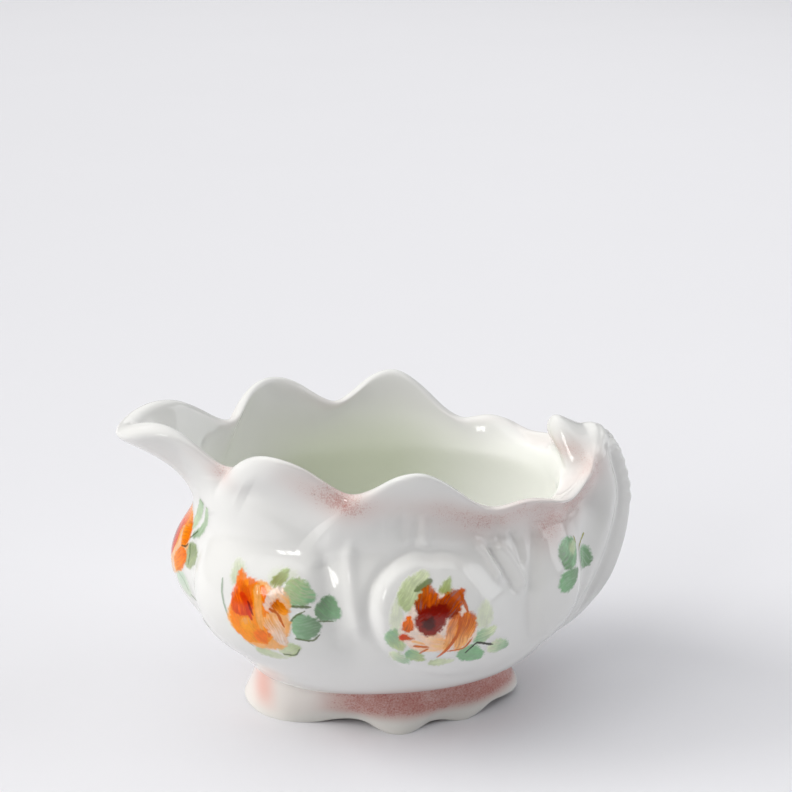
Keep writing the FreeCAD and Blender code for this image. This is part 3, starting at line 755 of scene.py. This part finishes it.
ROSE_LIP = (
    ("area", ((8.6, 12.2), (9.8, 16.5), (12.8, 20.6), (14.8, 19), (13.4, 13.8), (10.8, 9.4)), 0.8, 0.8,
     (150, 184, 142), (188, 206, 170), ((12.8, 20), (9.6, 10.5)), 0.5),
    ("area", ((16.8, 19.2), (19, 18.2), (18.6, 13.2), (16.2, 9.2), (12.8, 7.8), (12.4, 9.6), (15.4, 12.8)),
     0.8, 0.8, (168, 194, 156), (128, 160, 118), ((17.8, 18.6), (13, 8.6)), 0.6),
    ("line", ((14.2, 10.2), (12.4, 8.4), (11.2, 6.8)), 0.5, 0.8, (84, 104, 66), (60, 66, 34), None, 0.2),
    ("area", ((12.2, 6.2), (15, 6.8), (18.2, 5.2), (18.6, 2.4), (16.4, 0), (13.6, -0.4), (12.4, 2.4)), 0.7,
     0.85, (134, 152, 104), (164, 176, 134), ((16, 6.4), (14, 0)), 0.6),
    ("line", ((13, 6), (14.4, 3.4), (14.6, 0.4)), 0.45, 0.7, (88, 106, 66), (104, 122, 84), None, 0.2),
    ("area", ((8.6, -3), (12.8, -3.2), (14.8, -7.6), (13.4, -10.6), (10, -9.6), (8.2, -6.4)), 1.2, 0.6,
     (176, 206, 178), (204, 218, 194), ((10, -4), (12.6, -9.4)), 0.3),
    ("line", ((9.6, -3.6), (12.4, -5.4), (13.6, -8.6)), 0.4, 0.5, (140, 164, 138), (150, 172, 146),
     None, 0.2),
    ("line", ((14.2, -9.4), (17.2, -11.4), (20.4, -11.8)), 0.75, 0.7, (120, 138, 112), (140, 156, 130),
     None, 0.4),
    ("line", ((24.2, -12), (26.8, -11.4), (30, -11.2)), 0.7, 0.7, (108, 122, 100), (128, 140, 118),
     None, 0.4),
    ("area", ((-11, 4), (-15, 7.4), (-19.4, 6), (-20, 1.8), (-15.6, 0), (-11.6, 0.6)), 0.8, 0.85,
     (120, 156, 112), (160, 186, 146), ((-12, 3), (-19, 4)), 0.6),
    ("area", ((-8.6, -2.6), (-13, -3.4), (-16, -7.8), (-13, -10.4), (-8.8, -8.6), (-6.6, -5.6)), 0.8, 0.8,
     (140, 168, 128), (180, 200, 164), ((-8, -4), (-14, -9)), 0.5),
    ("line", ((-11.4, 2.4), (-15, 3.4), (-19, 3.8)), 0.4, 0.7, (70, 94, 58), (90, 112, 78), None, 0.2),
    ("area", ((-9.4, 2), (-8.2, 8.4), (-4, 12.4), (1.6, 14), (6.4, 12.4), (10.2, 9.4), (12, 6), (13, 2.2),
     (11.4, -1.8), (8, -4.6), (2, -6.4), (-5, -4.6)), 0.5, 0.95, (242, 200, 162), (238, 194, 158),
     None, 0.2),
    ("area", ((4.4, 12.6), (7.8, 11.6), (10.8, 9.2), (11.4, 5.8), (9, 4.2), (6.4, 6.6), (4.2, 9)), 0.5,
     0.95, (240, 116, 16), (252, 158, 66), ((10.6, 9), (5.4, 8.4)), 0.7),
    ("area", ((9.2, 3.8), (12.4, 3.4), (13.2, 1), (11.2, -2.4), (7.6, -3.6), (6.4, 0)), 0.5, 0.95,
     (238, 112, 18), (250, 158, 84), ((12.6, 2), (7.4, -2.4)), 0.7),
    ("area", ((-9.2, 2), (-7.8, 8), (-4, 11.4), (-2.6, 7), (-3.8, 1), (-6.4, -3)), 0.5, 0.94,
     (238, 112, 20), (248, 164, 98), ((-3, 8), (-8.4, 1)), 0.7),
    ("area", ((-3.4, 11.6), (1.4, 13.4), (4.4, 12), (4, 8.2), (0.4, 8), (-3, 9)), 0.5, 0.93, (248, 146, 40),
     (236, 98, 16), ((0.6, 13), (0.6, 8.2)), 0.7),
    ("area", ((-4, -3.8), (0.4, -2), (6, -1), (7.4, -4.2), (2, -6.4)), 0.6, 0.9, (246, 182, 126),
     (240, 216, 196), ((0, -2), (2, -6)), 0.5),
    ("area", ((-4, 5), (-1, 8.6), (3.4, 8), (5.8, 4), (3.6, -0.6), (-0.6, -2), (-3.6, 0.6)), 0.6, 0.95,
     (228, 78, 8), (206, 48, 2), ((-3, 7), (3, -1)), 0.7),
    ("line", ((-1.4, 5.8), (0.9, 4), (1.6, 1)), 1.5, 0.9, (158, 18, 0), (140, 8, 0), None, 0.3),
    ("line", ((3.6, 7.6), (5.6, 4), (4.6, 0)), 0.9, 0.85, (248, 176, 96), (242, 200, 160), None, 0.5),
    ("line", ((9.2, 4.2), (11.4, 4.8), (12, 5.8)), 0.5, 0.85, (92, 62, 22), (60, 58, 26), None, 0.2),
)
# spray: brush marks, plan angle of its middle, height of its middle, size, lightening
SPRAYS = {
    "rose_spray_front": (ROSE_OPEN, 117.0, 46.0, 1.0, 1.05),
    "rose_spray_side": (ROSE_FULL, 81.0, 45.5, 1.0, 1.16),
    "leaf_sprig": (SPRIG, 36.0, 51.0, 1.0, 1.18),
    "rose_spray_lip_side": (ROSE_LIP, 180.0, 48.4, 0.93, 0.95),
}
GRAIN_SIZE = 97
GRAIN = np.random.default_rng(11).random((GRAIN_SIZE, GRAIN_SIZE))
# grid step of an enamel skin, and its least thickness, in mm
SKIN_STEP = 0.125
SKIN_LIFT = 0.025


def noise(x, y, seed=0):
    # smooth unevenness from 0 to 1, repeating after GRAIN_SIZE
    x, y = x + seed * 7.31 + 40.0, y + seed * 3.17 + 40.0
    i, j = np.floor(x).astype(int), np.floor(y).astype(int)
    fx, fy = x - i, y - j
    fx, fy = fx * fx * (3 - 2 * fx), fy * fy * (3 - 2 * fy)
    i0, i1 = i % GRAIN_SIZE, (i + 1) % GRAIN_SIZE
    j0, j1 = j % GRAIN_SIZE, (j + 1) % GRAIN_SIZE
    top = GRAIN[i0, j0] * (1 - fx) + GRAIN[i1, j0] * fx
    low = GRAIN[i0, j1] * (1 - fx) + GRAIN[i1, j1] * fx
    return top * (1 - fy) + low * fy


def linear(color, gain=1.0):
    # a 0 to 255 display colour as linear light
    c = np.array(color, float) / 255
    return np.where(c <= 0.04045, c / 12.92, ((c + 0.055) / 1.055) ** 2.4) * gain


def painted(q, strokes, gain):
    # lays the strokes one over another on the points q; gives colour and cover
    color = np.zeros((len(q), 3))
    cover = np.zeros(len(q))
    body = np.zeros(len(q))
    for number, (kind, points, soft, opaque, first, second, axis, bristle) in enumerate(strokes):
        area = kind == "area"
        line = smooth_line(points, area, 6)
        reach = 0.6 + soft
        pick = np.flatnonzero(((q > line.min(0) - reach) & (q < line.max(0) + reach)).all(1))
        p = q[pick]
        d, t = to_line(p, line)
        wobble = (noise(p[:, 0] * 1.7, p[:, 1] * 1.7, number) - 0.5
                  + 0.5 * (noise(p[:, 0] * 5, p[:, 1] * 5, number) - 0.5))
        if area:
            depth = np.where(inside(p, line), d, -d) + wobble * 0.6
            a = step(-0.30 - soft * 0.25, 0.16 + soft * 0.5, depth)
            start, end = (np.array(axis[0]), np.array(axis[1])) if axis else (line.min(0), line.max(0))
            run = end - start
            long = max(np.hypot(*run), 0.5)
            run = run / long
            far = (p - start) @ run
            across = (p - start) @ np.array([-run[1], run[0]]) + 0.25 * np.sin(far * 0.9 + number)
            g = np.clip(far / long, 0, 1)
        else:
            half = soft * 0.5 * np.clip(np.sin(np.pi * (0.16 + 0.76 * t)) * 1.5, 0.15, 1)
            a = step(half * 1.35 + 0.06, half * 0.55, d + wobble * 0.16)
            g = t
            far = t * 6
            at = (t * (len(line) - 1)).astype(int)
            nearest = line[np.clip(at, 0, len(line) - 2)]
            ahead = line[np.clip(at + 1, 1, len(line) - 1)] - nearest
            across = ((p - nearest) * np.stack([-ahead[:, 1], ahead[:, 0]], -1)).sum(1)
            across = across / np.maximum(np.hypot(*ahead.T), 1e-6)
        hair = (noise(across * 4.2, far * 0.45, number + 3) * 0.65
                + noise(across * 9.0, far * 0.8, number + 5) * 0.35)
        mix = np.clip(g + (hair - 0.5) * 1.5 * bristle, 0, 1)[:, None]
        tone = linear(first, gain) * (1 - mix) + linear(second, gain) * mix
        patchy = noise(p[:, 0] * 0.8, p[:, 1] * 0.8, number + 9) - 0.5
        tone = tone * (1 + (hair - 0.5) * 0.6 * bristle + patchy * 0.22)[:, None]
        a = a * opaque * (1 - bristle * 0.16 * step(0.55, 0.25, hair))
        color[pick] = color[pick] * (1 - a[:, None]) + tone * a[:, None]
        cover[pick] = cover[pick] * (1 - a) + a
        body[pick] = body[pick] * (1 - 0.6 * a) + a * (0.55 + 0.45 * hair)
    return np.clip(color / np.maximum(cover, 1e-4)[:, None], 0, 1), cover, body


def spray(name, key, side):
    # a thin enamel skin that follows the bowl's outer face; side -1 is the near side, 1 the far side
    strokes, angle, height, size, gain = SPRAYS[key]
    spots = np.array([p for s in strokes for p in s[1]]) * size
    lo, hi = spots.min(0) - 0.9, spots.max(0) + 0.9
    middle = np.interp(angle, ANGLES, AROUND_MM)
    away = np.arange(lo[0], hi[0], SKIN_STEP)
    tau = np.interp(middle - away, AROUND_MM, ANGLES)
    v = np.linspace(1.0, 10.4, 460)
    fold = np.where(tau > 180, 360 - tau, tau)
    u = (tau if side < 0 else 360 - tau) / (360 / COLUMNS)
    base = surface_at(JUG_POLES, u, v)
    z_of_v = base[len(u) // 2, :, 2]
    up = np.arange(max(height + lo[1], z_of_v[0]), min(height + hi[1], z_of_v[-1]), SKIN_STEP)
    v = np.interp(up, z_of_v, v)
    base = surface_at(JUG_POLES, u, v)
    flip = -1.0 if side < 0 else 1.0
    high = relief(fold, base[:, :, 2], v)
    n = patch_normals(base) * flip
    skin = base + n * high[:, :, None]
    across = np.repeat(away[:, None], len(up), 1)
    q = np.stack([across.ravel(), (base[:, :, 2] - height).ravel()], -1) / size
    color, cover, body = painted(q, strokes, gain)
    n = patch_normals(skin) * flip
    cover, body = cover.reshape(len(u), -1), body.reshape(len(u), -1)
    skin = skin + n * (SKIN_LIFT + 0.05 * np.minimum(cover * 3, 1) + 0.075 * body * cover)[:, :, None]
    n = patch_normals(skin) * flip
    quads = grid_faces(len(u), len(v), closed=False)
    if side < 0:
        quads = quads[:, ::-1]
    seen = cover.ravel()[quads].max(1) > 0.02
    quads = quads[seen]
    used, quads = np.unique(quads, return_inverse=True)
    quads = quads.reshape(-1, 4)
    return new_object(name, skin.reshape(-1, 3)[used] + [FRAME_SHIFT, 0, 0], quads, n.reshape(-1, 3)[used],
                      {"paint": color[used], "cover": cover.ravel()[used], "body": body.ravel()[used]})


def patch_normals(s):
    n = np.cross(np.gradient(s, axis=1), np.gradient(s, axis=0))
    return n / np.maximum(np.linalg.norm(n, axis=-1, keepdims=True), 1e-12)


# ---------------------------------------------------------------- glazes and enamels
class Nodes:
    # builds one material's node tree
    def __init__(self, name):
        self.material = bpy.data.materials.new(name)
        self.material.use_nodes = True
        self.tree = self.material.node_tree
        self.shader = self.tree.nodes["Principled BSDF"]

    def add(self, kind, inputs=None, **settings):
        node = self.tree.nodes.new(kind)
        for key, value in settings.items():
            setattr(node, key, value)
        for key, value in (inputs or {}).items():
            if isinstance(value, bpy.types.NodeSocket):
                self.tree.links.new(value, node.inputs[key])
            else:
                node.inputs[key].default_value = value
        return node

    def attribute(self, name):
        return self.add("ShaderNodeAttribute", attribute_name=name)

    def math(self, operation, a, b=0.0):
        return self.add("ShaderNodeMath", {0: a, 1: b}, operation=operation).outputs[0]

    def noise(self, scale, detail=2.0):
        place = self.add("ShaderNodeTexCoord").outputs["Object"]
        cloud = self.add("ShaderNodeTexNoise", {"Vector": place, "Scale": scale, "Detail": detail})
        return cloud.outputs["Fac"]

    def ramp(self, value, low, high):
        span = self.add("ShaderNodeMapRange", {"Value": value, "From Min": low, "From Max": high})
        return span.outputs["Result"]

    def mix(self, factor, first, second):
        node = self.add("ShaderNodeMix", data_type="RGBA")
        for index, value in ((0, factor), (6, first), (7, second)):
            if isinstance(value, bpy.types.NodeSocket):
                self.tree.links.new(value, node.inputs[index])
            else:
                node.inputs[index].default_value = value if index == 0 else (*value, 1)
        return node.outputs[2]

    def finish(self, color, rough_low, rough_high, bump, scale):
        self.tree.links.new(color, self.shader.inputs["Base Color"])
        rough = self.add("ShaderNodeMapRange",
                         {"Value": self.noise(scale, 3.0), "To Min": rough_low, "To Max": rough_high})
        self.tree.links.new(rough.outputs["Result"], self.shader.inputs["Roughness"])
        fine = self.math("MULTIPLY", self.noise(scale * 3.0, 2.0), 0.15)
        height = self.math("ADD", self.noise(scale * 0.35, 3.0), fine)
        node = self.add("ShaderNodeBump", {"Strength": bump, "Distance": 0.0006, "Height": height})
        self.tree.links.new(node.outputs["Normal"], self.shader.inputs["Normal"])
        self.shader.inputs["IOR"].default_value = 1.52
        return self.material


def speckle(n, scale):
    # the dotted grain of rose lustre
    fine = n.math("MULTIPLY", n.noise(scale, 2.0), 0.85)
    return n.math("ADD", fine, n.math("MULTIPLY", n.noise(420.0, 2.0), 0.30))


def white_glaze(n):
    # body colour under the clear glaze, with painted light inside toward the handle end, painted greenish shade
    # elsewhere inside, the rose lustre and a few iron specks
    color = n.mix(n.noise(38.0, 3.0), (0.83, 0.83, 0.81), (0.795, 0.795, 0.775))
    # painted light: the inside toward the handle end lightened to near white
    color = n.mix(n.attribute("inside_painted_light").outputs["Fac"], color, (0.97, 0.97, 0.95))
    # painted shade: greenish grey inside the bowl
    color = n.mix(n.attribute("inside").outputs["Fac"], color, (0.80, 0.835, 0.715))
    rose = n.attribute("blush").outputs["Fac"]
    wash = n.math("MULTIPLY", rose, 0.62)
    color = n.mix(wash, color, (0.66, 0.46, 0.42))
    grain = speckle(n, 2600.0)
    dots = n.ramp(n.math("ADD", n.math("MULTIPLY", rose, 0.42), grain), 0.90, 1.25)
    dots = n.math("MULTIPLY", dots, n.math("MINIMUM", n.math("MULTIPLY", rose, 2.4), 0.85))
    color = n.mix(dots, color, (0.50, 0.20, 0.17))
    place = n.add("ShaderNodeTexCoord").outputs["Object"]
    cell = n.add("ShaderNodeTexVoronoi", {"Vector": place, "Scale": 60.0})
    near = n.ramp(cell.outputs["Distance"], 0.020, 0.010)
    lot = n.add("ShaderNodeSeparateColor", {"Color": cell.outputs["Color"]}).outputs[0]
    chosen = n.math("MULTIPLY", n.math("GREATER_THAN", lot, 0.35), 0.8)
    return n.mix(n.math("MULTIPLY", near, chosen), color, (0.13, 0.10, 0.08))


def porcelain_material():
    n = Nodes("white_glaze")
    return n.finish(white_glaze(n), 0.05, 0.11, 0.05, 260.0)


def foot_material():
    n = Nodes("foot_glaze")
    cloud = n.noise(95.0, 3.0)
    color = n.mix(n.noise(45.0, 3.0), (0.84, 0.825, 0.78), (0.80, 0.78, 0.73))
    color = n.mix(n.math("MULTIPLY", n.attribute("peach").outputs["Fac"], 0.8), color, (0.82, 0.44, 0.36))
    # pink lustre band, partly painted shade under the belly
    lustre_band_and_shade = n.attribute("lustre_band_and_shade").outputs["Fac"]
    lustre_band_and_shade = n.math("MULTIPLY", lustre_band_and_shade, n.math("ADD", 0.62, n.math("MULTIPLY", cloud, 0.76)))
    color = n.mix(n.math("MULTIPLY", lustre_band_and_shade, 0.85), color, (0.56, 0.27, 0.23))
    grain = speckle(n, 2100.0)
    dots = n.ramp(n.math("ADD", n.math("MULTIPLY", lustre_band_and_shade, 0.42), grain), 0.88, 1.22)
    dots = n.math("MULTIPLY", dots, n.math("MINIMUM", n.math("MULTIPLY", lustre_band_and_shade, 1.6), 0.9))
    color = n.mix(dots, color, (0.42, 0.11, 0.09))
    uneven = n.math("MULTIPLY", n.noise(140.0, 2.0), 0.35)
    line = n.ramp(n.math("ADD", n.attribute("edge").outputs["Fac"], uneven), 0.72, 1.05)
    color = n.mix(n.math("MULTIPLY", line, 0.8), color, (0.55, 0.30, 0.26))
    return n.finish(color, 0.07, 0.16, 0.08, 240.0)


def enamel_material(name):
    n = Nodes(name)
    paint = n.attribute("paint").outputs["Color"]
    tone = n.add("ShaderNodeHueSaturation", {"Color": paint, "Saturation": 1.22, "Value": 1.0})
    depth = n.add("ShaderNodeMapRange", {"Value": n.noise(1500.0, 3.0), "To Min": 0.86, "To Max": 1.12})
    n.tree.links.new(depth.outputs["Result"], tone.inputs["Value"])
    cover = n.attribute("cover").outputs["Fac"]
    return n.finish(n.mix(cover, white_glaze(n), tone.outputs["Color"]), 0.08, 0.20, 0.10, 420.0)


PORCELAIN = porcelain_material()
FOOT = foot_material()
ROSE_ENAMEL = enamel_material("rose_enamel_paint")
LEAF_ENAMEL = enamel_material("leaf_enamel_paint")
make_jug()
make_foot()
make_sprays()


# ---------------------------------------------------------------- camera, floor, light
CAMERA_AZIMUTH = -5.0
CAMERA_ELEVATION = 20.0
CAMERA_DISTANCE = 420.0
CAMERA_AIM_Z = 90.5
LENS = 70.73
FLOOR_HALF = 3000


def camera():
    a, e = math.radians(CAMERA_AZIMUTH), math.radians(CAMERA_ELEVATION)
    back = Vector((math.sin(a) * math.cos(e), -math.cos(a) * math.cos(e), math.sin(e)))
    target = Vector((FRAME_SHIFT, 0, CAMERA_AIM_Z)) * MM
    data = bpy.data.cameras.new("camera")
    data.sensor_width = 36.0
    data.lens = LENS
    data.clip_start = 0.01
    cam = bpy.data.objects.new("camera", data)
    cam.location = target + back * CAMERA_DISTANCE * MM
    cam.rotation_euler = back.to_track_quat("Z", "Y").to_euler()
    bpy.context.scene.collection.objects.link(cam)
    bpy.context.scene.camera = cam


def area_light(name, place, target, size, power, color):
    data = bpy.data.lights.new(name, "AREA")
    data.shape = "RECTANGLE"
    data.size, data.size_y = size
    data.energy = power
    data.color = color
    obj = bpy.data.objects.new(name, data)
    obj.location = place
    obj.rotation_euler = (Vector(place) - Vector(target)).to_track_quat("Z", "Y").to_euler()
    bpy.context.scene.collection.objects.link(obj)


def sun_light(name, toward, strength, angle):
    # soft daylight, left out of the glaze's reflections
    data = bpy.data.lights.new(name, "SUN")
    data.energy = strength
    data.angle = math.radians(angle)
    data.color = (1.0, 0.985, 0.965)
    obj = bpy.data.objects.new(name, data)
    obj.rotation_euler = Vector(toward).to_track_quat("Z", "Y").to_euler()
    obj.visible_glossy = False
    bpy.context.scene.collection.objects.link(obj)


def floor_material():
    n = Nodes("paper_floor")
    color = n.mix(n.noise(6.0, 4.0), (0.81, 0.81, 0.84), (0.795, 0.795, 0.825))
    return n.finish(color, 0.55, 0.70, 0.05, 300.0)


def room():
    corners = [(-FLOOR_HALF, -FLOOR_HALF, 0), (FLOOR_HALF, -FLOOR_HALF, 0),
               (FLOOR_HALF, FLOOR_HALF, 0), (-FLOOR_HALF, FLOOR_HALF, 0)]
    floor = new_object("floor", corners, [(0, 1, 2, 3)])
    floor.data.materials.append(floor_material())
    world = bpy.data.worlds.new("world")
    bpy.context.scene.world = world
    world.use_nodes = True
    background = world.node_tree.nodes["Background"]
    background.inputs[0].default_value = (0.92, 0.94, 1.0, 1)
    background.inputs[1].default_value = 0.05
    bpy.context.scene.view_settings.view_transform = "Standard"


def lights():
    # places and sizes in metres, power in watts
    jug = (0, 0, 0.05)
    area_light("ceiling", (-0.4, 0.3, 3.0), (-0.4, 0.3, 0.0), (4.5, 4.5), 66.0, (1.0, 1.0, 1.0))
    area_light("back_wall", (0.0, 2.2, 1.2), jug, (2.0, 1.6), 6.5, (1.0, 1.0, 1.0))
    area_light("right_wall", (2.0, 0.0, 0.9), jug, (1.6, 1.6), 16.0, (0.97, 0.98, 1.0))
    for pane in (-0.052, 0.052):
        place = (-0.52 + 0.81 * pane, -0.71 - 0.59 * pane, 0.51)
        area_light("window_pane", place, jug, (0.075, 0.24), 0.6, (1.0, 0.99, 0.97))
    sun_light("daylight", (-0.70, -0.20, 0.60), 1.05, 46.0)
    sun_light("low_daylight", (-0.80, 0.10, 0.46), 1.25, 30.0)


camera()
room()
lights()
